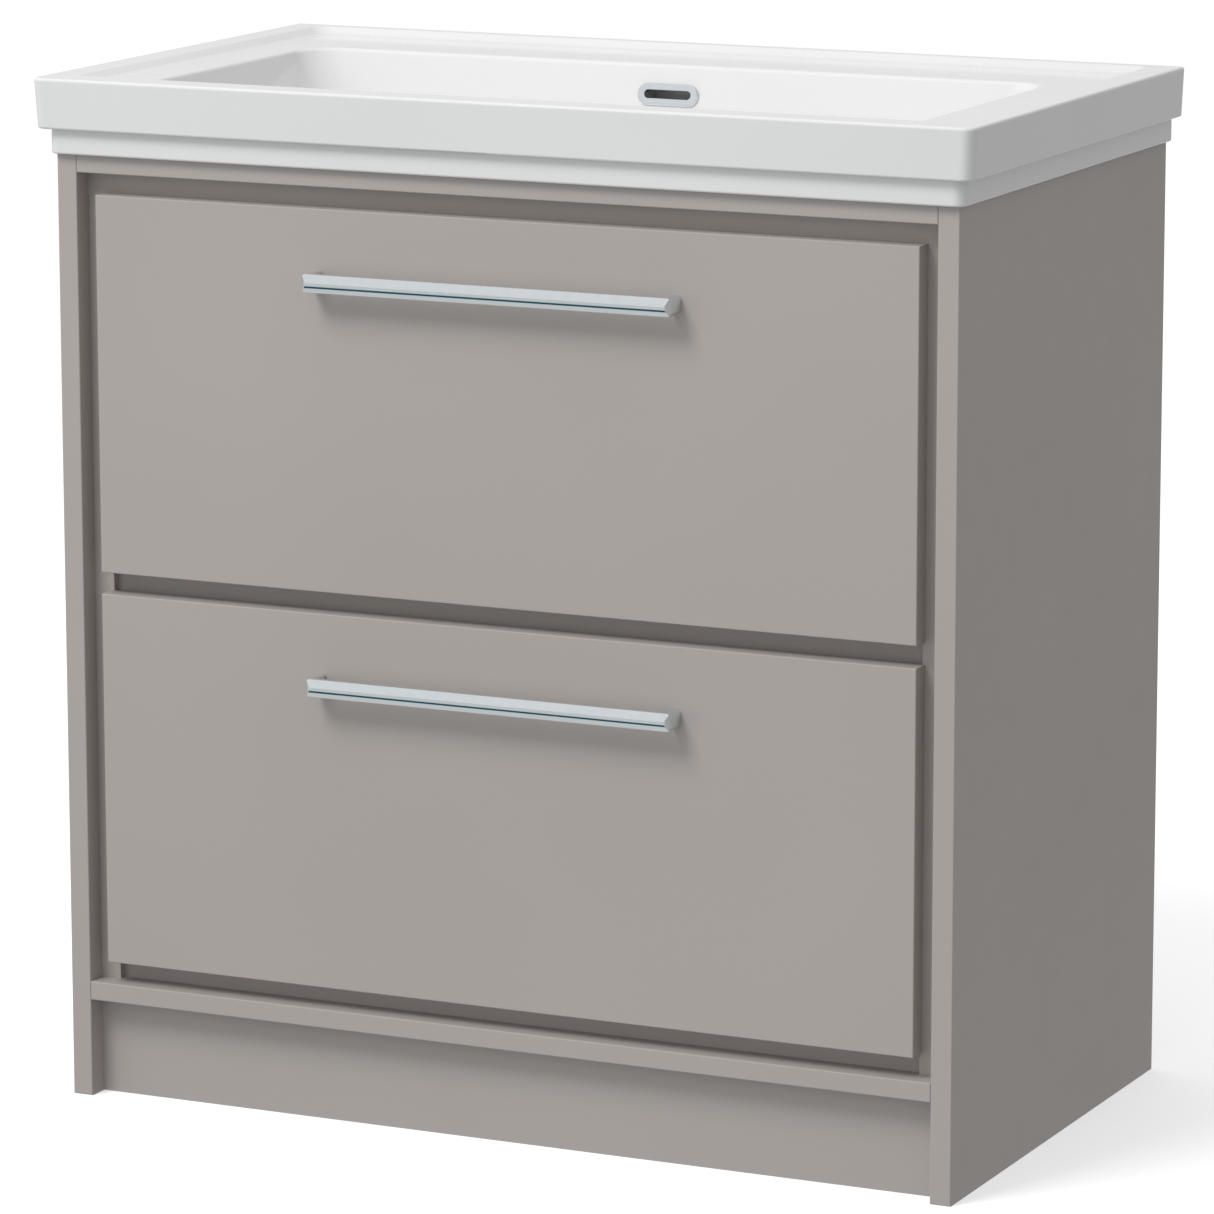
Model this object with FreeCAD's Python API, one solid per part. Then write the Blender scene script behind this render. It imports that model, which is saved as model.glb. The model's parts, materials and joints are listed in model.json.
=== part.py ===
import FreeCAD, Part
import math
import os

# Floor-standing vanity cabinet with two drawers under a ceramic basin.
# Units are millimetres.  X runs to the right, Y towards the wall and Z up.
# The origin is on the floor, under the middle of the overall width and depth.
# Depths below are counted from the front edge of the outer frame.

Vector = FreeCAD.Vector
RIGHT = Vector(1, 0, 0)
BACK = Vector(0, 1, 0)
UP = Vector(0, 0, 1)

# ---- Driving dimensions ----

cabinet_width = 800.0
cabinet_depth = 457.0
cabinet_height = 800.0

board = 18.0                 # sides and drawer fronts
floor_board = 16.0           # cabinet bottom, plinth and rails
cap_height = 15.0            # front rail at the top of the frame
plinth_height = 83.5
plinth_setback = 20.0
edge_ease = 1.0

front_inset = 2.0            # drawer face behind the frame
front_lap = 2.0              # drawer front over the edge of each inner side
drawer_gap = 18.0            # between, above and below the drawer fronts
rail_height = 60.0
rail_setback = 7.0           # middle and lower rails behind the carcass edge
lower_rail_cut = 10.0        # how much lower the lower rail is than the others
fixing_rail_height = 80.0
cap_overlap = 8.0            # top front rail behind the rail below it

handle_centres = 320.0
handle_post = 7.0
handle_reach = 24.0          # from the drawer face
handle_height = 15.0
handle_bar_depth = 8.0
handle_corner = 5.0
handle_crown = 3.0           # bulge of the front of the bar
handle_drop = 58.0           # below the top edge of the drawer front

runner_length = 400.0
runner_height = 45.0
runner_width = 12.7
runner_steel = 1.2
runner_start = 24.0
travel = 380.0
ball_radius = 1.5
ball_gap = 0.25              # between a ball and each race
balls_per_strip = 6
cage_length = 190.0
cage_steel = 0.8

drawer_board = 15.0
drawer_floor = 8.0
groove_depth = 6.0
groove_height = 12.0         # underside of the drawer bottom above the side's edge
drawer_length = 400.0
upper_box_height = 160.0
lower_box_height = 200.0
box_clearance = 14.0         # drawer box to the rail below it
notch_width = 200.0          # plumbing notch in the upper drawer
notch_start = 130.0

basin_height = 63.0
basin_width = cabinet_width + 32.0
basin_overhang = 15.0        # in front of the frame
apron_height = 21.0
apron_width = cabinet_width + 11.0
apron_overhang = 6.0
basin_draft = 2.0            # growth of the basin's side from its bottom edge to its top
basin_front_corner = 10.0
basin_back_corner = 3.0
rim_round = 2.5
apron_round = 2.0
deck_drop = 6.0              # rim to deck
rim_side = 26.0
rim_front = 30.0
rim_back = 14.0
rim_inner_round = 1.5
cove_width = 9.0
cove_round = 9.0
deck_corner = 12.0
bowl_width = cabinet_width - 118.0
bowl_front = 36.0
bowl_back = 340.0
bowl_depth = 99.0            # deck to bowl floor
bowl_side_slope = 36.0       # how far each side leans in over the bowl's depth
bowl_back_slope = 23.0
bowl_top_corner = 30.0
bowl_floor_corner = 60.0
bowl_floor_round = 30.0
bowl_edge_round = 4.0
ceramic = 10.0
apron_wall = 1.6 * ceramic
edge_wall = 1.3 * ceramic
bowl_floor_wall = 1.5 * ceramic
waste_radius = 22.5
waste_boss = 10.0
waste_dish = 5.0             # bowl floor down to the edge of the waste hole
waste_length = 22.0
overflow_drop = 25.0         # overflow centre below the deck
overflow_width = 56.0
overflow_height = 19.0
slot_width = 43.0
slot_height = 7.5
overflow_plate = 2.5
overflow_plate_round = 1.2
sleeve_wall = 1.5
sleeve_length = 8.0
sleeve_fit = 0.3

peg_fit = 0.05               # radial clearance of pegs and screws in their holes
running_fit = 0.4            # clearance of sliding runner members
wall_hole_radius = 4.0
wall_hole_spacing = 600.0
overcut = 1.0                # how far a cutting shape reaches past the face it cuts
near = 0.05                  # how close an edge lies to the height it is picked by

# ---- Sizes and places worked out from them ----

half_width = cabinet_width / 2
handle_front = handle_reach - front_inset
front_y = (handle_front - cabinet_depth) / 2
carcass_front = front_inset + board
inside = half_width - board              # inner face of an outer side
carcass_inside = inside - board          # inner face of an inner side
floor_top = plinth_height + floor_board
cap_bottom = cabinet_height - cap_height
rail_front = carcass_front + rail_setback
front_half_width = carcass_inside + front_lap
front_height = (cap_bottom - floor_top - 3 * drawer_gap) / 2
lower_front_bottom = floor_top + drawer_gap
upper_front_bottom = lower_front_bottom + front_height + drawer_gap
mid_rail_bottom = upper_front_bottom - drawer_gap / 2 - rail_height / 2
lower_rail_height = rail_height - lower_rail_cut
rear_rail_front = cabinet_depth - board

box_half = carcass_inside - runner_width
box_inside = box_half - drawer_board
drawer_back = carcass_front + drawer_length
lower_box_bottom = floor_top + lower_rail_height + box_clearance
upper_box_bottom = mid_rail_bottom + rail_height + box_clearance

apron_top = cabinet_height + apron_height
rim_top = cabinet_height + basin_height
deck = rim_top - deck_drop
bowl_floor = deck - bowl_depth


def at(x, y, z):
    """A point whose depth is counted from the front of the frame."""
    return Vector(x, front_y + y, z)


def block(x0, x1, y0, y1, z0, z1):
    return Part.makeBox(x1 - x0, y1 - y0, z1 - z0, at(x0, y0, z0))


def rod(start, direction, radius, length):
    return Part.makeCylinder(radius, length, start, direction)


def screw(start, direction, radius, length, head_radius, head_height):
    """A cross-head screw whose head is seated at start and whose shank runs along direction."""
    shank = rod(start, direction, radius, length)
    head = rod(start - direction * head_height, direction, head_radius, head_height)
    reach = head_radius * 1.1
    thickness = head_radius * 0.25
    facing = FreeCAD.Placement(start, FreeCAD.Rotation(UP, direction))
    cross = []
    for long_x, long_y in ((reach, thickness), (thickness, reach)):
        slot = Part.makeBox(long_x, long_y, head_height * 0.7,
                            Vector(-long_x / 2, -long_y / 2, -head_height * 1.1))
        slot.Placement = facing
        cross.append(slot)
    return head.fuse(shank).cut(cross).removeSplitter()


def edges_where(shape, test):
    return [edge for edge in shape.Edges if test(edge.BoundBox)]


def upright_edges(shape, y):
    """The vertical edges in the plane at y."""
    return edges_where(shape, lambda box: box.ZLength > edge_ease and abs(box.YMax - y) < near)


def eased_board(x0, x1, y0, y1, z0, z1):
    """A board with the edges of its front face rounded."""
    front = front_y + y0
    plain = block(x0, x1, y0, y1, z0, z1)
    return plain.makeFillet(edge_ease, edges_where(plain, lambda box: abs(box.YMax - front) < near))


def rounded_wire(half, y0, y1, z, corner_front, corner_back):
    """A level rectangle, centred on X, with rounded corners."""
    corners = [
        (-half, y0, corner_front, 1, 1),
        (half, y0, corner_front, -1, 1),
        (half, y1, corner_back, -1, -1),
        (-half, y1, corner_back, 1, -1),
    ]
    diagonal = 1 - math.sqrt(0.5)
    arcs = []
    for number, (x, y, corner, inward_x, inward_y) in enumerate(corners):
        on_x = at(x + inward_x * corner, y, z)
        on_y = at(x, y + inward_y * corner, z)
        middle = at(x + inward_x * corner * diagonal, y + inward_y * corner * diagonal, z)
        ends = (on_y, on_x) if number % 2 == 0 else (on_x, on_y)
        arcs.append((ends[0], middle, ends[1]))
    edges = []
    for number, (start, middle, end) in enumerate(arcs):
        next_start = arcs[(number + 1) % len(arcs)][0]
        edges.append(Part.Arc(start, middle, end).toShape())
        edges.append(Part.LineSegment(end, next_start).toShape())
    return Part.Wire(edges)


def tapered(lower, upper):
    """A solid between two wires."""
    return Part.makeLoft([lower, upper], True, True)


def stadium(width, height, depth):
    """A flat-sided oval plate in the XZ plane, centred on the origin, running towards +Y."""
    radius = height / 2
    reach = width / 2 - radius
    middle = Part.makeBox(2 * reach, depth, height, Vector(-reach, 0, -radius))
    for x in (-reach, reach):
        middle = middle.fuse(Part.makeCylinder(radius, depth, Vector(x, 0, 0), BACK))
    return middle.removeSplitter()


# ---- Fasteners, placed before the boards so that the boards take their holes ----

dowel_radius = 4.0
dowel_length = 30.0
confirmat_radius = 2.5
confirmat_length = 50.0
confirmat_head_radius = 5.0
confirmat_head_height = 2.0
panel_screw_radius = 1.75
panel_screw_length = 30.0
panel_head_radius = 3.5
panel_head_height = 1.6
runner_screw_radius = 1.75
runner_screw_length = 14.0
runner_head_radius = 3.2
runner_head_height = 1.4
handle_screw_radius = 2.0
handle_screw_length = 30.0
handle_head_radius = 4.0
handle_head_height = 2.4
bracket_leg = 25.0
bracket_width = 16.0
bracket_steel = 2.0
bracket_screw_length = 12.0
bracket_screw_place = 0.65 * bracket_leg # from the bracket's corner
plinth_bracket_place = 0.6 * inside      # from the middle of the cabinet


class Fixings:
    """Identical fasteners and the holes that they need."""

    def __init__(self):
        self.solids = []
        self.holes = []

    def peg(self, start, direction):
        self.solids.append(rod(start, direction, dowel_radius - peg_fit, dowel_length))
        self.holes.append(rod(start, direction, dowel_radius, dowel_length))

    def screw(self, start, direction, radius, length, head_radius, head_height):
        self.solids.append(screw(start, direction, radius, length, head_radius, head_height))
        self.holes.append(rod(start, direction, radius + peg_fit, length + peg_fit))

    def sunk_screw(self, start, direction, radius, length, head_radius, head_height):
        """A screw whose head is let into the board, with its top level with start."""
        seat = start + direction * head_height
        self.screw(seat, direction, radius, length - head_height, head_radius, head_height)
        self.holes.append(rod(start, direction, head_radius + peg_fit, head_height))

    def compound(self):
        return Part.makeCompound(self.solids)


def drilled(shape, *groups):
    """The board with the holes of the given fixings cut out of it."""
    box = shape.BoundBox
    holes = [hole for group in groups for hole in group.holes if hole.BoundBox.intersect(box)]
    return shape.cut(holes) if holes else shape


# Dowels between the outer sides and what spans them.
dowels = Fixings()
dowel_inset = 40.0
cap_depth = carcass_front + floor_board + cap_overlap
for side in (-1, 1):
    start_x = side * (inside + dowel_length / 2)
    dowels.peg(at(start_x, cap_depth / 2, cap_bottom + cap_height / 2), RIGHT * -side)
    for y in (dowel_inset, cabinet_depth / 2, cabinet_depth - dowel_inset):
        dowels.peg(at(start_x, y, plinth_height + floor_board / 2), RIGHT * -side)
    for z in (plinth_height / 4, plinth_height * 3 / 4):
        dowels.peg(at(start_x, plinth_setback + floor_board / 2, z), RIGHT * -side)

# Connector screws through the inner sides into the ends of the rails.
connectors = Fixings()
connector_shares = (0.25, 0.65)          # places of the two screws up the height of a rail
rails = [
    (carcass_front, cap_bottom - rail_height, rail_height),
    (rail_front, mid_rail_bottom, rail_height),
    (rail_front, floor_top, lower_rail_height),
    (rear_rail_front, cabinet_height - fixing_rail_height, fixing_rail_height),
    (rear_rail_front, floor_top, rail_height),
]
for side in (-1, 1):
    for rail_y, rail_bottom, height in rails:
        for share in connector_shares:
            start = at(side * inside, rail_y + floor_board / 2, rail_bottom + height * share)
            connectors.sunk_screw(start, RIGHT * -side, confirmat_radius, confirmat_length,
                                  confirmat_head_radius, confirmat_head_height)

# Screws from inside the carcass that hold it in the outer sides.
panel_screws = Fixings()
panel_screw_depths = (70.0, rear_rail_front - 50.0)
panel_screw_heights = (floor_top + 30.0, cabinet_height / 2, cap_bottom - 80.0)
for side in (-1, 1):
    for y in panel_screw_depths:
        for z in panel_screw_heights:
            panel_screws.screw(at(side * carcass_inside, y, z), RIGHT * side, panel_screw_radius,
                               panel_screw_length, panel_head_radius, panel_head_height)


# ---- Cabinet boards ----

def outer_side(side):
    x0, x1 = sorted((side * inside, side * half_width))
    return drilled(eased_board(x0, x1, 0, cabinet_depth, 0, cabinet_height), dowels, panel_screws)


def inner_side(side, runner_screws):
    x0, x1 = sorted((side * carcass_inside, side * inside))
    plain = block(x0, x1, carcass_front, cabinet_depth, floor_top, cap_bottom)
    return drilled(plain, connectors, panel_screws, *runner_screws)


def rail(y, thickness, bottom, height):
    plain = block(-carcass_inside, carcass_inside, y, y + thickness, bottom, bottom + height)
    return drilled(plain, connectors, bracket_screws)


def wall_rail():
    """The rear rail that the wall screws go through."""
    bottom = cabinet_height - fixing_rail_height
    shape = rail(rear_rail_front, board, bottom, fixing_rail_height)
    for side in (-1, 1):
        middle = bottom + fixing_rail_height / 2
        start = at(side * wall_hole_spacing / 2, rear_rail_front - overcut, middle)
        shape = shape.cut(rod(start, BACK, wall_hole_radius, board + 2 * overcut))
    return shape


def cap_rail():
    plain = eased_board(-inside, inside, 0, cap_depth, cap_bottom, cabinet_height)
    return drilled(plain, dowels)


def bottom_panel():
    plain = eased_board(-inside, inside, 0, cabinet_depth, plinth_height, floor_top)
    return drilled(plain, dowels, bracket_screws)


def plinth():
    plain = block(-inside, inside, plinth_setback, plinth_setback + floor_board, 0, plinth_height)
    return drilled(plain, dowels, bracket_screws)


# Steel angles: two behind the top rail and two behind the plinth.
bracket_screws = Fixings()
brackets = []


def fix_bracket_leg(start, direction):
    bracket_screws.screw(start, direction, panel_screw_radius, bracket_screw_length,
                         panel_head_radius, panel_head_height)


def bracket_hole(start, direction):
    """A hole from the screw's seat through the steel."""
    back_off = start - direction * overcut
    return rod(back_off, direction, panel_screw_radius + peg_fit, bracket_steel + 2 * overcut)


def top_bracket(side):
    """An angle in the corner between the top rail and an inner side."""
    corner_y = carcass_front + floor_board
    z0 = cap_bottom - rail_height / 2 - bracket_width / 2
    z1 = z0 + bracket_width
    outer_x = side * carcass_inside
    leg_x = outer_x - side * bracket_leg
    thin_x = outer_x - side * bracket_steel
    on_rail = block(*sorted((leg_x, outer_x)), corner_y, corner_y + bracket_steel, z0, z1)
    on_side = block(*sorted((thin_x, outer_x)), corner_y, corner_y + bracket_leg, z0, z1)
    middle_z = (z0 + z1) / 2
    rail_screw = at(outer_x - side * bracket_screw_place, corner_y + bracket_steel, middle_z)
    side_screw = at(thin_x, corner_y + bracket_screw_place, middle_z)
    fix_bracket_leg(rail_screw, -BACK)
    fix_bracket_leg(side_screw, RIGHT * side)
    angle = on_rail.fuse(on_side).removeSplitter()
    return angle.cut([bracket_hole(rail_screw, -BACK), bracket_hole(side_screw, RIGHT * side)])


def plinth_bracket(side):
    """An angle in the corner between the plinth and the cabinet bottom."""
    corner_y = plinth_setback + floor_board
    middle_x = side * plinth_bracket_place
    x0 = middle_x - bracket_width / 2
    x1 = middle_x + bracket_width / 2
    top = plinth_height
    on_plinth = block(x0, x1, corner_y, corner_y + bracket_steel, top - bracket_leg, top)
    on_floor = block(x0, x1, corner_y, corner_y + bracket_leg, top - bracket_steel, top)
    plinth_screw = at(middle_x, corner_y + bracket_steel, top - bracket_screw_place)
    floor_screw = at(middle_x, corner_y + bracket_screw_place, top - bracket_steel)
    fix_bracket_leg(plinth_screw, -BACK)
    fix_bracket_leg(floor_screw, UP)
    angle = on_plinth.fuse(on_floor).removeSplitter()
    return angle.cut([bracket_hole(plinth_screw, -BACK), bracket_hole(floor_screw, UP)])


for bracket_side in (-1, 1):
    brackets.append(top_bracket(bracket_side))
    brackets.append(plinth_bracket(bracket_side))


# ---- Telescopic runners ----

channel_half = runner_height / 2
race = 2 * (ball_radius + ball_gap)
middle_half = channel_half - runner_steel - race
slide_half = middle_half - runner_steel - race
middle_web = runner_width / 2 - runner_steel / 2
fixed_flange = 9.0
middle_flange_start = 3.4
middle_flange_end = 10.2
outer_ball_depth = 6.2
inner_ball_depth = 9.1
cage_half_width = ball_radius * 0.8
# Each cage travels half as far as the two members that it runs between move apart, so it
# starts behind the middle of the member and ends in front of the middle of their overlap.
shortest_overlap = runner_length - travel / 2
cage_start = runner_start + travel / 4 + (shortest_overlap - cage_length) / 2


def runner_block(side, depth0, depth1, y0, y1, z0, z1):
    """A block whose depth is counted from the inner side's face towards the drawer."""
    x0, x1 = sorted((side * (carcass_inside - depth0), side * (carcass_inside - depth1)))
    return block(x0, x1, y0, y1, z0, z1)


def runner_member(side, centre_z, half_height, web, flange):
    """A rolled steel section: an upright web with a flange along each edge."""
    y0, y1 = runner_start, runner_start + runner_length
    shape = runner_block(side, *web, y0, y1, centre_z - half_height, centre_z + half_height)
    for edge in (-1, 1):
        z0, z1 = sorted((centre_z + edge * half_height, centre_z + edge * (half_height - runner_steel)))
        shape = shape.fuse(runner_block(side, *flange, y0, y1, z0, z1))
    return shape.removeSplitter()


def ball_strip(side, centre_z, ball_depth, ball_z):
    """A strip of bearing balls held in a flat steel cage, with its mirror below."""
    strips = []
    for edge in (-1, 1):
        z = centre_z + edge * ball_z
        z0 = z - cage_steel / 2
        z1 = z + cage_steel / 2
        depths = (ball_depth - cage_half_width, ball_depth + cage_half_width)
        strip = runner_block(side, *depths, cage_start, cage_start + cage_length, z0, z1)
        pitch = cage_length / balls_per_strip
        balls = []
        for number in range(balls_per_strip):
            centre_y = cage_start + pitch * (number + 0.5)
            centre = at(side * (carcass_inside - ball_depth), centre_y, z)
            balls.append(Part.makeSphere(ball_radius, centre))
        strips.append(strip.fuse(balls).removeSplitter())
    return strips


runner_screw_shares = (0.12, 0.5, 0.88)
screw_places = [runner_start + runner_length * share for share in runner_screw_shares]


def make_runners(name, centre_z):
    """The two runners of one drawer.  Returns the two groups of screws."""
    cabinet_screws = Fixings()
    drawer_screws = Fixings()
    outer_cages = []
    inner_cages = []
    for side, word in ((-1, "left"), (1, "right")):
        for y in screw_places:
            fixed_x = side * (carcass_inside - runner_steel)
            cabinet_screws.screw(at(fixed_x, y, centre_z), RIGHT * side, runner_screw_radius,
                                 runner_screw_length, runner_head_radius, runner_head_height)
            slide_x = side * (box_half + runner_steel)
            drawer_screws.screw(at(slide_x, y, centre_z), RIGHT * -side, runner_screw_radius,
                                runner_screw_length, runner_head_radius, runner_head_height)
        fixed = runner_member(side, centre_z, channel_half, (0, runner_steel), (0, fixed_flange))
        middle_back = middle_web + runner_steel
        middle_flange = (middle_flange_start, middle_flange_end)
        middle = runner_member(side, centre_z, middle_half, (middle_web, middle_back), middle_flange)
        slide_web = (runner_width - runner_steel, runner_width)
        slide_flange = (middle_back + running_fit, runner_width)
        slide = runner_member(side, centre_z, slide_half, slide_web, slide_flange)
        nodes[name + "_runner_fixed_" + word] = drilled(fixed, cabinet_screws)
        nodes[name + "_runner_middle_" + word] = middle
        nodes[name + "_runner_slide_" + word] = drilled(slide, drawer_screws)
        outer_z = channel_half - runner_steel - race / 2
        inner_z = middle_half - runner_steel - race / 2
        outer_cages += ball_strip(side, centre_z, outer_ball_depth, outer_z)
        inner_cages += ball_strip(side, centre_z, inner_ball_depth, inner_z)
    nodes[name + "_runner_outer_balls"] = Part.makeCompound(outer_cages)
    nodes[name + "_runner_inner_balls"] = Part.makeCompound(inner_cages)
    nodes[name + "_runner_cabinet_screws"] = cabinet_screws.compound()
    nodes[name + "_runner_drawer_screws"] = drawer_screws.compound()
    return cabinet_screws, drawer_screws


# ---- Drawers ----

def make_handle(centre_z):
    """A bar with a crowned front and two posts, made in one piece."""
    half = handle_centres / 2 + handle_post / 2
    y0 = front_inset - handle_reach
    z0 = centre_z - handle_height / 2
    z1 = centre_z + handle_height / 2
    outline = block(-half, half, y0, front_inset, z0, z1)
    face = front_y + y0
    outline = outline.makeFillet(handle_corner, upright_edges(outline, face))
    inner = half - handle_post
    bar_back = y0 + handle_bar_depth
    gap = block(-inner, inner, bar_back, front_inset + overcut, z0 - overcut, z1 + overcut)
    gap = gap.makeFillet(handle_corner / 2, upright_edges(gap, face + handle_bar_depth))
    crown_low = at(-half, y0 + handle_crown, z0)
    crown_high = at(-half, y0 + handle_crown, z1)
    back_low = at(-half, front_inset, z0)
    back_high = at(-half, front_inset, z1)
    crown_edges = [
        Part.Arc(crown_low, at(-half, y0, centre_z), crown_high).toShape(),
        Part.LineSegment(crown_high, back_high).toShape(),
        Part.LineSegment(back_high, back_low).toShape(),
        Part.LineSegment(back_low, crown_low).toShape(),
    ]
    crown = Part.Face(Part.Wire(crown_edges)).extrude(RIGHT * 2 * half)
    ends = block(-half, half, y0 - overcut, front_inset, z0, z1)
    ends = ends.makeFillet(handle_crown, edges_where(ends, lambda box: box.YLength > handle_reach))
    return outline.cut(gap).common(crown).common(ends)


def make_front(name, bottom, handle_screws, pegs):
    half = front_half_width
    front = eased_board(-half, half, front_inset, carcass_front, bottom, bottom + front_height)
    nodes[name + "_front"] = drilled(front, handle_screws, pegs)


def make_handle_screws(centre_z):
    group = Fixings()
    for side in (-1, 1):
        start = at(side * handle_centres / 2, carcass_front, centre_z)
        group.screw(start, -BACK, handle_screw_radius, handle_screw_length,
                    handle_head_radius, handle_head_height)
    return group


box_peg_shares = (0.3, 0.8)              # places of the two dowels up the height of a side
box_peg_sink = 0.4 * dowel_length        # depth of a dowel in the drawer front


def make_box_pegs(bottom, height):
    """Dowels that join the drawer's sides to its front."""
    group = Fixings()
    x = box_half - drawer_board / 2
    for side in (-1, 1):
        for share in box_peg_shares:
            start = at(side * x, carcass_front - box_peg_sink, bottom + height * share)
            group.peg(start, BACK)
    return group


def drawer_side(side, bottom, height, *groups):
    x0, x1 = sorted((side * box_inside, side * box_half))
    shape = block(x0, x1, carcass_front, drawer_back, bottom, bottom + height)
    groove_x = sorted((side * box_inside, side * (box_inside + groove_depth)))
    groove_bottom = bottom + groove_height
    groove = block(*groove_x, carcass_front, drawer_back, groove_bottom, groove_bottom + drawer_floor)
    return drilled(shape.cut(groove), *groups)


def drawer_bottom(bottom):
    half = box_inside + groove_depth
    z0 = bottom + groove_height
    return block(-half, half, carcass_front, drawer_back, z0, z0 + drawer_floor)


def make_drawer(name, front_bottom, box_bottom, box_height):
    """Everything that both drawers share.  Returns the screws that go into the inner sides."""
    handle_z = front_bottom + front_height - handle_drop
    handle_screws = make_handle_screws(handle_z)
    pegs = make_box_pegs(box_bottom, box_height)
    runner_z = box_bottom + box_height / 2
    cabinet_screws, drawer_screws = make_runners(name, runner_z)
    make_front(name, front_bottom, handle_screws, pegs)
    nodes[name + "_handle"] = drilled(make_handle(handle_z), handle_screws)
    nodes[name + "_handle_screws"] = handle_screws.compound()
    nodes[name + "_dowels"] = pegs.compound()
    for side, word in ((-1, "left"), (1, "right")):
        nodes[name + "_side_" + word] = drawer_side(side, box_bottom, box_height, pegs, drawer_screws)
    return cabinet_screws


def make_lower_drawer():
    name = "lower_drawer"
    screws = make_drawer(name, lower_front_bottom, lower_box_bottom, lower_box_height)
    nodes[name + "_bottom"] = drawer_bottom(lower_box_bottom)
    back_bottom = lower_box_bottom + groove_height + drawer_floor
    nodes[name + "_back"] = block(-box_inside, box_inside, drawer_back - drawer_board, drawer_back,
                                  back_bottom, lower_box_bottom + lower_box_height)
    return screws


def make_upper_drawer():
    """The upper drawer has a notch, open at the back, for the waste pipe."""
    name = "upper_drawer"
    screws = make_drawer(name, upper_front_bottom, upper_box_bottom, upper_box_height)
    notch_half = notch_width / 2
    z0 = upper_box_bottom + groove_height + drawer_floor
    z1 = upper_box_bottom + upper_box_height
    notch = block(-notch_half, notch_half, notch_start, drawer_back + overcut, 0, z0 + overcut)
    nodes[name + "_bottom"] = drawer_bottom(upper_box_bottom).cut(notch)
    wall_out = notch_half + drawer_board
    wall_front = notch_start - drawer_board
    nodes[name + "_notch_front"] = block(-wall_out, wall_out, wall_front, notch_start, z0, z1)
    for side, word in ((-1, "left"), (1, "right")):
        x0, x1 = sorted((side * notch_half, side * wall_out))
        nodes[name + "_notch_" + word] = block(x0, x1, notch_start, drawer_back, z0, z1)
        x0, x1 = sorted((side * wall_out, side * box_inside))
        nodes[name + "_back_" + word] = block(x0, x1, drawer_back - drawer_board, drawer_back, z0, z1)
    return screws


# ---- Basin ----

def bowl_shape(extra, floor_z, top_z, corner_top, corner_floor, floor_round):
    """The bowl's outline, grown sideways by extra, between two heights."""
    def outline(z, corner):
        lean = (deck - z) / bowl_depth
        half = bowl_width / 2 - bowl_side_slope * lean + extra
        y0 = bowl_front + bowl_side_slope * lean - extra
        y1 = bowl_back - bowl_back_slope * lean + extra
        return rounded_wire(half, y0, y1, z, corner, corner)
    solid = tapered(outline(floor_z, corner_floor), outline(top_z, corner_top))
    return solid.makeFillet(floor_round, edges_where(solid, lambda box: box.ZMax < floor_z + near))


def basin_outside():
    """The apron and, above it, the deeper upper edge with a slight draft."""
    def outline(half, front, z):
        return rounded_wire(half, front, cabinet_depth, z, basin_front_corner, basin_back_corner)
    apron_half = apron_width / 2
    apron = tapered(outline(apron_half, -apron_overhang, cabinet_height),
                    outline(apron_half, -apron_overhang, apron_top + overcut))
    apron_edges = edges_where(apron, lambda box: box.ZMax < cabinet_height + near)
    apron = apron.makeFillet(apron_round, apron_edges)
    lower_half = basin_width / 2 - basin_draft
    upper = tapered(outline(lower_half, basin_draft - basin_overhang, apron_top),
                    outline(basin_width / 2, -basin_overhang, rim_top))
    rim_edges = edges_where(upper, lambda box: box.ZMin > rim_top - near)
    upper = upper.makeFillet(rim_round, rim_edges)
    lower_edges = edges_where(upper, lambda box: box.ZMax < apron_top + near)
    upper = upper.makeFillet(apron_round, lower_edges)
    return apron, upper


def deck_recess():
    """The shallow recess inside the rim, with a cove round its edge."""
    def outline(z):
        grow = cove_width * (z - deck) / deck_drop
        half = basin_width / 2 - rim_side - cove_width + grow
        y0 = rim_front - basin_overhang + cove_width - grow
        y1 = cabinet_depth - rim_back - cove_width + grow
        return rounded_wire(half, y0, y1, z, deck_corner, deck_corner)
    solid = tapered(outline(deck), outline(rim_top + 2 * overcut))
    return solid.makeFillet(cove_round, edges_where(solid, lambda box: box.ZMax < deck + near))


def underside_hollow():
    """The space under the deck, round the bowl."""
    half = apron_width / 2 - apron_wall
    lower = block(-half, half, apron_wall - apron_overhang, cabinet_depth - apron_wall,
                  cabinet_height - overcut, apron_top + overcut)
    half = basin_width / 2 - edge_wall
    upper = block(-half, half, edge_wall - basin_overhang, cabinet_depth - edge_wall,
                  apron_top, deck - ceramic)
    return lower.fuse(upper)


bowl_middle = (bowl_front + bowl_side_slope + bowl_back - bowl_back_slope) / 2
waste_depth = bowl_floor - waste_dish
boss_bottom = waste_depth - waste_length
dish_radius = 4.5 * waste_radius
dish_step = 6.0              # from the waste hole to the dish's lower edge
overflow_z = deck - overflow_drop
overflow_y = bowl_back - bowl_back_slope * overflow_drop / bowl_depth
overflow_tilt = math.degrees(math.atan(bowl_back_slope / bowl_depth))
duct_half = 26.0             # the duct runs down behind the bowl from the overflow slot
duct_wall = 6.0
duct_front = overflow_y + 13.0
duct_back = duct_front + 16.0
duct_sink = 8.0              # how far the duct's outside reaches into the bowl's wall
pipe_half = 12.0             # the level pipe from the duct's foot to the waste hole
pipe_z0 = boss_bottom + 5.0
pipe_z1 = pipe_z0 + 6.0


def overflow_plate_shape(width, height, start, depth):
    """An oval set square to the bowl's leaning rear wall, at the overflow."""
    shape = stadium(width, height, depth)
    shape.translate(Vector(0, start, 0))
    shape.rotate(Vector(0, 0, 0), RIGHT, -overflow_tilt)
    shape.translate(at(0, overflow_y, overflow_z))
    return shape


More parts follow.
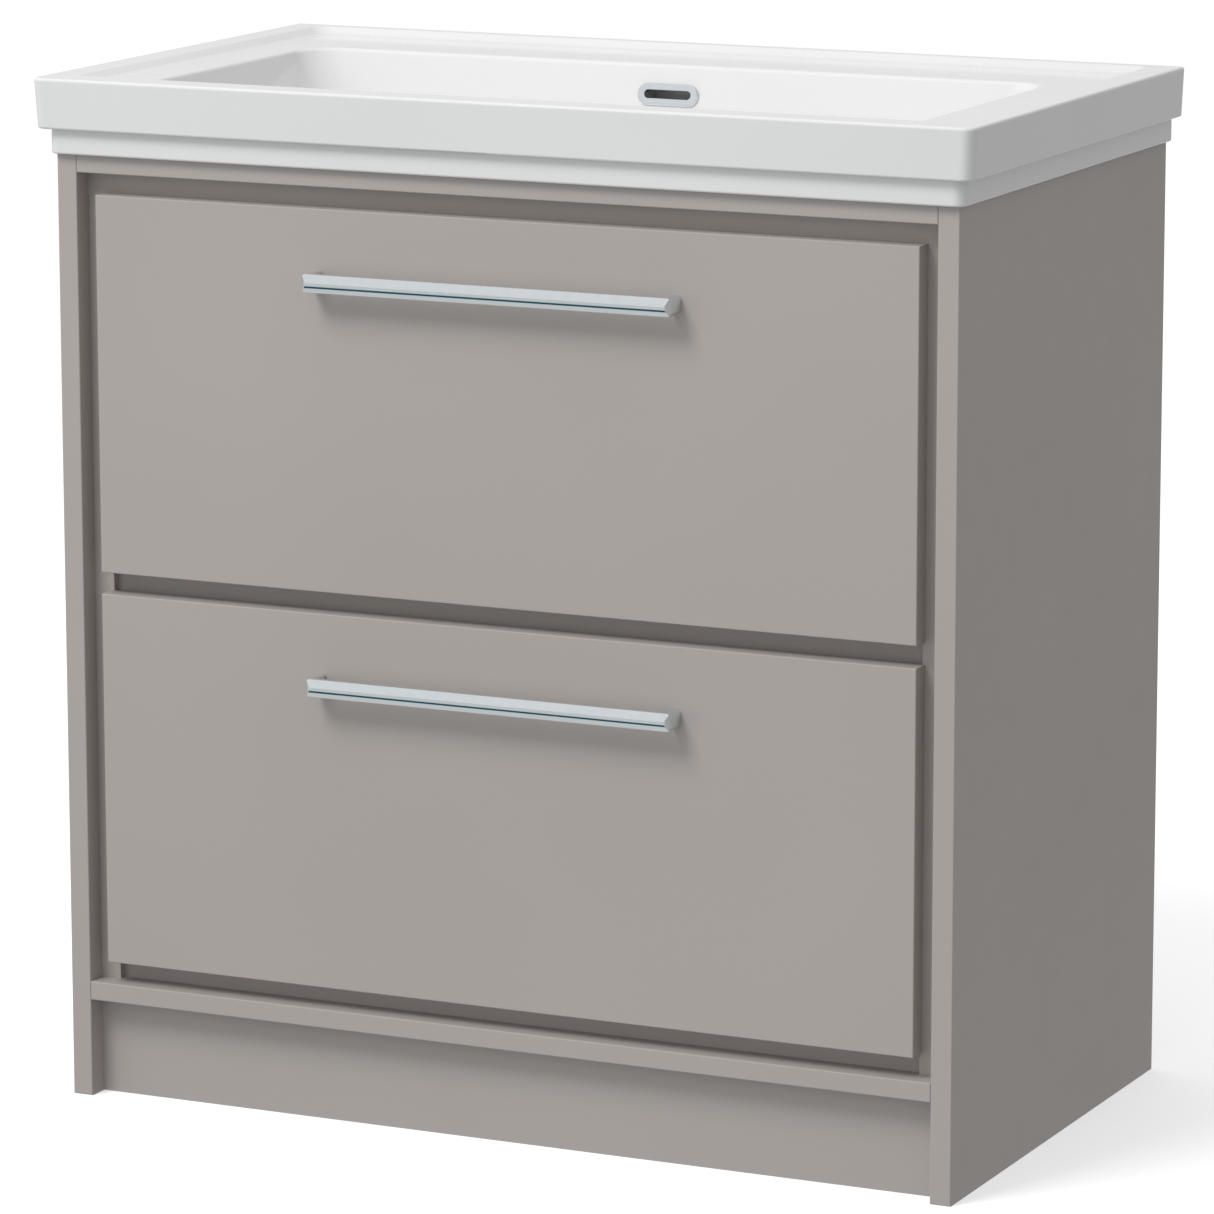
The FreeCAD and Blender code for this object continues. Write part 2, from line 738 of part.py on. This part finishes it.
def is_bowl_edge(box):
    """Whether an edge's box is on the line where the bowl meets the deck."""
    level = abs(box.ZMin - deck) < near and abs(box.ZMax - deck) < near
    across = box.XMin > -bowl_width / 2 - overcut and box.XMax < bowl_width / 2 + overcut
    front = front_y + bowl_front - overcut
    back = front_y + bowl_back + overcut
    return level and across and box.YMin > front and box.YMax < back


def is_rim_inner_edge(box):
    """Whether an edge's box is on the rim's inner line."""
    half = basin_width / 2 - rim_side + overcut
    front = front_y + rim_front - basin_overhang - overcut
    back = front_y + cabinet_depth - rim_back + overcut
    across = box.XMin > -half and box.XMax < half
    return box.ZMin > rim_top - near and across and box.YMin > front and box.YMax < back


def make_basin():
    apron, upper = basin_outside()
    shape = apron.fuse(upper).cut(underside_hollow())
    outer_floor = bowl_floor - bowl_floor_wall
    outer_top_corner = bowl_top_corner + ceramic
    outer_floor_corner = bowl_floor_corner + ceramic * 0.6
    outer_round = bowl_floor_round + ceramic
    outer_bowl = bowl_shape(ceramic, outer_floor, deck - overcut, outer_top_corner,
                            outer_floor_corner, outer_round)
    shape = shape.fuse(outer_bowl)
    boss_start = at(0, bowl_middle, boss_bottom)
    shape = shape.fuse(rod(boss_start, UP, waste_radius + waste_boss, bowl_floor - boss_bottom))
    duct_out = duct_half + duct_wall
    duct = block(-duct_out, duct_out, overflow_y - duct_sink, duct_back + duct_wall,
                 boss_bottom, overflow_z + slot_height * 2)
    pipe_out = pipe_half + duct_wall
    pipe = block(-pipe_out, pipe_out, bowl_middle, duct_back, boss_bottom, bowl_floor - 2 * overcut)
    shape = shape.fuse([duct, pipe])
    bowl = bowl_shape(0, bowl_floor, deck + bowl_edge_round, bowl_top_corner,
                      bowl_floor_corner, bowl_floor_round)
    shape = shape.cut(deck_recess()).cut(bowl)
    shape = shape.makeFillet(bowl_edge_round, edges_where(shape, is_bowl_edge))
    shape = shape.makeFillet(rim_inner_round, edges_where(shape, is_rim_inner_edge))
    dish = Part.makeCone(waste_radius + dish_step, dish_radius, waste_dish,
                         at(0, bowl_middle, waste_depth), UP)
    bore = rod(boss_start - UP * overcut, UP, waste_radius, bowl_depth)
    duct_inside = block(-duct_half, duct_half, duct_front, duct_back, pipe_z0, overflow_z + slot_height)
    pipe_inside = block(-pipe_half, pipe_half, bowl_middle, duct_back, pipe_z0, pipe_z1)
    sleeve_room = 2 * sleeve_wall + sleeve_fit
    slot_end = duct_front - overflow_y + sleeve_wall * 2
    slot = overflow_plate_shape(slot_width + sleeve_room, slot_height + sleeve_room,
                                -overflow_height, overflow_height + slot_end)
    return shape.cut([dish, bore, duct_inside, pipe_inside, slot])


def make_overflow_ring():
    """A rounded oval trim with a short sleeve in the overflow slot."""
    plate = overflow_plate_shape(overflow_width, overflow_height, -overflow_plate, overflow_plate)
    middle_y = front_y + overflow_y - overflow_plate / 2
    front_edges = [edge for edge in plate.Edges
                   if edge.Length > overflow_height and edge.CenterOfMass.y < middle_y]
    plate = plate.makeFillet(overflow_plate_round, front_edges)
    sleeve_width = slot_width + 2 * sleeve_wall
    sleeve_height = slot_height + 2 * sleeve_wall
    sleeve = overflow_plate_shape(sleeve_width, sleeve_height, -overcut, sleeve_length + overcut)
    hole = overflow_plate_shape(slot_width, slot_height, -overflow_height, 2 * overflow_height)
    return plate.fuse(sleeve).cut(hole)


# ---- Nodes ----

nodes = {}
upper_screws = make_upper_drawer()
lower_screws = make_lower_drawer()
runner_screws = (upper_screws, lower_screws, bracket_screws)
for side_number, side_word in ((-1, "left"), (1, "right")):
    nodes["outer_side_" + side_word] = outer_side(side_number)
    nodes["inner_side_" + side_word] = inner_side(side_number, runner_screws)
nodes["top_front_rail"] = cap_rail()
nodes["bottom_panel"] = bottom_panel()
nodes["plinth"] = plinth()
nodes["inner_top_rail"] = rail(carcass_front, floor_board, cap_bottom - rail_height, rail_height)
nodes["middle_rail"] = rail(rail_front, floor_board, mid_rail_bottom, rail_height)
nodes["lower_rail"] = rail(rail_front, floor_board, floor_top, lower_rail_height)
nodes["rear_top_rail"] = wall_rail()
nodes["rear_bottom_rail"] = rail(rear_rail_front, board, floor_top, rail_height)
nodes["panel_dowels"] = dowels.compound()
nodes["rail_connector_screws"] = connectors.compound()
nodes["panel_screws"] = panel_screws.compound()
nodes["corner_brackets"] = Part.makeCompound(brackets)
nodes["bracket_screws"] = bracket_screws.compound()
nodes["basin"] = make_basin()
nodes["overflow_ring"] = make_overflow_ring()

os.makedirs("parts", exist_ok=True)
for name, shape in nodes.items():
    shape.exportStep("parts/" + name + ".step")
    if not shape.isValid():
        print("not valid:", name)
print(len(nodes), "nodes")
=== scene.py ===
import json
import math

import bpy
from mathutils import Matrix, Vector

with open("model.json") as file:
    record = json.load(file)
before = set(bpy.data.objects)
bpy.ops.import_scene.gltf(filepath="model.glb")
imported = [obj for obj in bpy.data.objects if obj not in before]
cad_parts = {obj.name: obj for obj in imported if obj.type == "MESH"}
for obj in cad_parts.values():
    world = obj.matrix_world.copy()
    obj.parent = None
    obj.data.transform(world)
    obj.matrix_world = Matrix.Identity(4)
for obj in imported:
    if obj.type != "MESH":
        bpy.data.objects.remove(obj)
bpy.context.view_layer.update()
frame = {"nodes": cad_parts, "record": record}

scene = bpy.context.scene

# ---- Camera: the studio view, from the front and to the right ----

VIEW_AZIMUTH = math.radians(25.179)
VIEW_ELEVATION = math.radians(11.201)
VIEW_ROLL = math.radians(-0.074)
CAMERA_PLACE = Vector((2.2268, -4.7430, 1.4512))
SENSOR_WIDTH = 36.0
FOCAL_LENGTH = 188.96


def make_camera():
    level = math.cos(VIEW_ELEVATION)
    across = math.sin(VIEW_AZIMUTH)
    along = math.cos(VIEW_AZIMUTH)
    back = Vector((across * level, -along * level, math.sin(VIEW_ELEVATION)))
    right = Vector((along, across, 0.0))
    up = back.cross(right)
    turn = Matrix((right, up, back)).transposed() @ Matrix.Rotation(VIEW_ROLL, 3, "Z")
    data = bpy.data.cameras.new("studio_camera")
    data.sensor_width = SENSOR_WIDTH
    data.lens = FOCAL_LENGTH
    data.clip_end = 200.0
    camera = bpy.data.objects.new("studio_camera", data)
    camera.matrix_world = Matrix.Translation(CAMERA_PLACE) @ turn.to_4x4()
    scene.collection.objects.link(camera)
    scene.camera = camera


# ---- Node helpers ----

class Tree:
    """A node tree with short calls for the nodes used here."""

    def __init__(self, tree):
        self.tree = tree
        self.texture_place = self.node("ShaderNodeTexCoord").outputs

    def node(self, kind):
        return self.tree.nodes.new(kind)

    def link(self, output, socket):
        self.tree.links.new(output, socket)

    def ramp(self, value, stops):
        """A colour ramp.  Each stop is a position and a colour."""
        ramp = self.node("ShaderNodeValToRGB")
        elements = ramp.color_ramp.elements
        while len(elements) < len(stops):
            elements.new(1.0)
        for element, (position, colour) in zip(elements, stops):
            element.position = position
            element.color = (*colour, 1.0)
        self.link(value, ramp.inputs["Fac"])
        return ramp.outputs["Color"]

    def math(self, operation, *terms):
        """The result of a math node.  Each term is a number or another node's output."""
        node = self.node("ShaderNodeMath")
        node.operation = operation
        for socket, term in zip(node.inputs, terms):
            if isinstance(term, bpy.types.NodeSocket):
                self.link(term, socket)
            else:
                socket.default_value = term
        return node.outputs["Value"]

    def multiplied(self, colour, other):
        """Two colours multiplied together."""
        node = self.node("ShaderNodeVectorMath")
        node.operation = "MULTIPLY"
        self.link(colour, node.inputs[0])
        self.link(other, node.inputs[1])
        return node.outputs["Vector"]


class Material(Tree):
    """A material with a Principled shader, and the textures that drive it."""

    def __init__(self, name):
        self.material = bpy.data.materials.new(name)
        self.material.use_nodes = True
        super().__init__(self.material.node_tree)
        self.shader = self.tree.nodes["Principled BSDF"]
        self.place = self.texture_place["Object"]

    def scaled(self, scale):
        """Object coordinates stretched by a different amount along each axis."""
        mapping = self.node("ShaderNodeMapping")
        mapping.inputs["Scale"].default_value = scale
        self.link(self.place, mapping.inputs["Vector"])
        return mapping.outputs["Vector"]

    def noise(self, scale, detail=2.0, place=None):
        noise = self.node("ShaderNodeTexNoise")
        noise.inputs["Scale"].default_value = scale
        noise.inputs["Detail"].default_value = detail
        self.link(place or self.place, noise.inputs["Vector"])
        return noise.outputs["Fac"]

    def spread(self, value, low, high):
        """The middle of a noise's range, mapped to run from low to high."""
        mapped = self.node("ShaderNodeMapRange")
        mapped.inputs["From Min"].default_value = NOISE_LOW
        mapped.inputs["From Max"].default_value = NOISE_HIGH
        mapped.inputs["To Min"].default_value = low
        mapped.inputs["To Max"].default_value = high
        self.link(value, mapped.inputs["Value"])
        return mapped.outputs["Result"]

    def tint(self, value, low, high):
        """Two colours mixed by the middle of a noise's range."""
        return self.ramp(value, [(NOISE_LOW, low), (NOISE_HIGH, high)])

    def bump(self, height, distance, below=None):
        bump = self.node("ShaderNodeBump")
        bump.inputs["Distance"].default_value = distance
        self.link(height, bump.inputs["Height"])
        if below is not None:
            self.link(below, bump.inputs["Normal"])
        return bump.outputs["Normal"]

    def finish(self, **sockets):
        """Sets the shader's sockets.  Names have underscores for spaces."""
        for key, value in sockets.items():
            socket = self.shader.inputs[key.replace("_", " ")]
            if isinstance(value, bpy.types.NodeSocket):
                self.link(value, socket)
            else:
                socket.default_value = value
        return self.material


# ---- Materials, one for each slot in the record ----

# The part of a noise's range that holds nearly all of its values.
NOISE_LOW = 0.3
NOISE_HIGH = 0.7


def grey_lacquer():
    """Satin warm-grey lacquer: a faint orange peel and a slightly uneven sheen."""
    nodes = Material("grey_lacquer")
    peel = nodes.noise(900.0, 2.0)
    drift = nodes.noise(3.0, 2.0)
    colour = nodes.tint(drift, (0.472, 0.435, 0.410), (0.490, 0.452, 0.427))
    sheen = nodes.spread(nodes.noise(35.0, 3.0), 0.40, 0.48)
    return nodes.finish(Base_Color=colour, Roughness=sheen, Normal=nodes.bump(peel, 0.00002),
                        Specular_IOR_Level=0.35)


def grey_melamine():
    """Matt grey melamine with a fine linen emboss."""
    nodes = Material("grey_melamine")
    warp = nodes.noise(500.0, 3.0, place=nodes.scaled((1.0, 12.0, 1.0)))
    weft = nodes.noise(500.0, 3.0, place=nodes.scaled((12.0, 1.0, 12.0)))
    colour = nodes.tint(warp, (0.50, 0.485, 0.465), (0.56, 0.545, 0.525))
    relief = nodes.bump(weft, 0.00003, nodes.bump(warp, 0.00003))
    sheen = nodes.spread(weft, 0.50, 0.62)
    return nodes.finish(Base_Color=colour, Roughness=sheen, Normal=relief)


def beech():
    """Bare beech with short flecks along the dowel."""
    nodes = Material("beech")
    grain = nodes.noise(60.0, 6.0, place=nodes.scaled((0.4, 6.0, 6.0)))
    colour = nodes.ramp(grain, [(0.35, (0.40, 0.235, 0.120)), (0.65, (0.60, 0.40, 0.23))])
    return nodes.finish(Base_Color=colour, Roughness=nodes.spread(grain, 0.5, 0.7),
                        Normal=nodes.bump(grain, 0.00005))


def zinc_steel():
    """Bright zinc plate with fine drawing lines along the runners."""
    nodes = Material("zinc_steel")
    lines = nodes.noise(400.0, 4.0, place=nodes.scaled((3.0, 0.05, 3.0)))
    bloom = nodes.noise(40.0, 3.0)
    colour = nodes.tint(bloom, (0.56, 0.58, 0.60), (0.68, 0.69, 0.70))
    return nodes.finish(Base_Color=colour, Metallic=1.0, Roughness=nodes.spread(lines, 0.22, 0.38),
                        Normal=nodes.bump(lines, 0.00001))


def chrome():
    """Polished chrome with the faintest haze and waviness."""
    nodes = Material("chrome")
    haze = nodes.noise(120.0, 3.0)
    wave = nodes.noise(25.0, 1.0)
    colour = nodes.tint(haze, (0.80, 0.85, 0.88), (0.84, 0.89, 0.92))
    return nodes.finish(Base_Color=colour, Metallic=1.0, Roughness=nodes.spread(haze, 0.05, 0.09),
                        Normal=nodes.bump(wave, 0.00002))


def ceramic():
    """White gloss glaze, with the slight waviness that a fired glaze has."""
    nodes = Material("ceramic")
    wave = nodes.noise(9.0, 2.0)
    tone = nodes.noise(4.0, 2.0)
    colour = nodes.tint(tone, (0.83, 0.83, 0.83), (0.86, 0.86, 0.86))
    sheen = nodes.spread(nodes.noise(60.0, 3.0), 0.10, 0.16)
    return nodes.finish(Base_Color=colour, Roughness=sheen, Normal=nodes.bump(wave, 0.0001),
                        Coat_Weight=0.5, Coat_Roughness=0.05)


MATERIALS = {
    "grey_lacquered_board": grey_lacquer,
    "grey_melamine_board": grey_melamine,
    "dowel_beech": beech,
    "zinc_plated_steel": zinc_steel,
    "polished_chrome": chrome,
    "white_glazed_ceramic": ceramic,
}


def dress_nodes():
    """Gives every node the material of its slot in the record."""
    made = {slot: make() for slot, make in MATERIALS.items()}
    for part in frame["record"]["subparts"]:
        node = frame["nodes"][part["node"]]
        node.data.materials.clear()
        node.data.materials.append(made[part["material_slot"]])


# ---- Studio ----

WHITE = (1.0, 1.0, 1.0)
BLACK = (0.0, 0.0, 0.0)
FLOOR_HALF = 30.0
FLOOR_GLOW = 0.4


def make_floor():
    """A pale floor that takes shadows and doesn't light or reflect in the cabinet."""
    corners = [(-1, -1), (1, -1), (1, 1), (-1, 1)]
    mesh = bpy.data.meshes.new("studio_floor")
    mesh.from_pydata([(x * FLOOR_HALF, y * FLOOR_HALF, 0) for x, y in corners], [], [(0, 1, 2, 3)])
    floor = bpy.data.objects.new("studio_floor", mesh)
    floor.visible_diffuse = False
    floor.visible_glossy = False
    scene.collection.objects.link(floor)
    nodes = Material("studio_floor")
    tone = nodes.tint(nodes.noise(0.5), (0.90, 0.90, 0.90), (0.92, 0.92, 0.92))
    mesh.materials.append(nodes.finish(Base_Color=tone, Roughness=0.9, Specular_IOR_Level=0.1,
                                       Emission_Color=(*WHITE, 1.0), Emission_Strength=FLOOR_GLOW))


KEY_PLACE = (-1.5, -3.2, 4.6)
KEY_TARGET = (0, 0, 0.45)
KEY_SIZE = 2.0
KEY_POWER = 132.0


def make_key():
    """A large soft light from above the left of the front."""
    data = bpy.data.lights.new("key", "AREA")
    data.shape = "RECTANGLE"
    data.size = KEY_SIZE
    data.size_y = KEY_SIZE
    data.energy = KEY_POWER
    light = bpy.data.objects.new("key", data)
    light.location = KEY_PLACE
    light.visible_glossy = False
    facing = Vector(KEY_TARGET) - Vector(KEY_PLACE)
    light.rotation_euler = facing.to_track_quat("-Z", "Y").to_euler()
    scene.collection.objects.link(light)


# Directions are unit vectors: SKY_SPREAD is measured to the right, BAND_EDGES
# upwards and BAND_FRONT to the front.
SKY_STRENGTH = 0.74
SKY_LEFT = (1.0, 1.0, 1.0)
SKY_RIGHT = (0.64, 0.64, 0.65)
SKY_SPREAD = (0.05, 0.55)                   # where the left shade ends and the right one begins
GROUND_SHADE = (0.80, 0.80, 0.79)
HORIZON = 0.5                               # on the sky's height ramps, which run from 0 to 1
HORIZON_FADE = 0.001                        # how far below and above the horizon the shade fades
BAND = (0.02, 0.13, 0.18)
BAND_EDGES = (-0.69, -0.66, -0.49, -0.46)   # where it starts, is full, starts to fade, and ends
BAND_FRONT = (0.35, 0.55)                   # where the band fades in


def make_sky():
    """A soft sky, darker to the right, with a teal band low in front for the chrome."""
    world = bpy.data.worlds.new("studio")
    scene.world = world
    world.use_nodes = True
    sky = Tree(world.node_tree)
    split = sky.node("ShaderNodeSeparateXYZ")
    sky.link(sky.texture_place["Generated"], split.inputs["Vector"])
    height = sky.math("MULTIPLY_ADD", split.outputs["Z"], 0.5, HORIZON)
    forward = sky.math("MULTIPLY", split.outputs["Y"], -1.0)
    sides = sky.ramp(split.outputs["X"], list(zip(SKY_SPREAD, (SKY_LEFT, SKY_RIGHT))))
    places = [HORIZON + edge / 2 for edge in BAND_EDGES]
    low = sky.ramp(height, list(zip(places, (BLACK, WHITE, WHITE, BLACK))))
    front = sky.ramp(forward, list(zip(BAND_FRONT, (BLACK, WHITE))))
    mix = sky.node("ShaderNodeMixRGB")
    sky.link(sky.math("MULTIPLY", low, front), mix.inputs["Fac"])
    sky.link(sides, mix.inputs["Color1"])
    mix.inputs["Color2"].default_value = (*BAND, 1.0)
    ground = sky.ramp(height, [(HORIZON - HORIZON_FADE, GROUND_SHADE),
                               (HORIZON + HORIZON_FADE, WHITE)])
    background = sky.tree.nodes["Background"]
    sky.link(sky.multiplied(mix.outputs["Color"], ground), background.inputs["Color"])
    background.inputs["Strength"].default_value = SKY_STRENGTH


def make_studio():
    make_floor()
    make_sky()
    make_key()
    scene.view_settings.view_transform = "Standard"


make_camera()
dress_nodes()
make_studio()
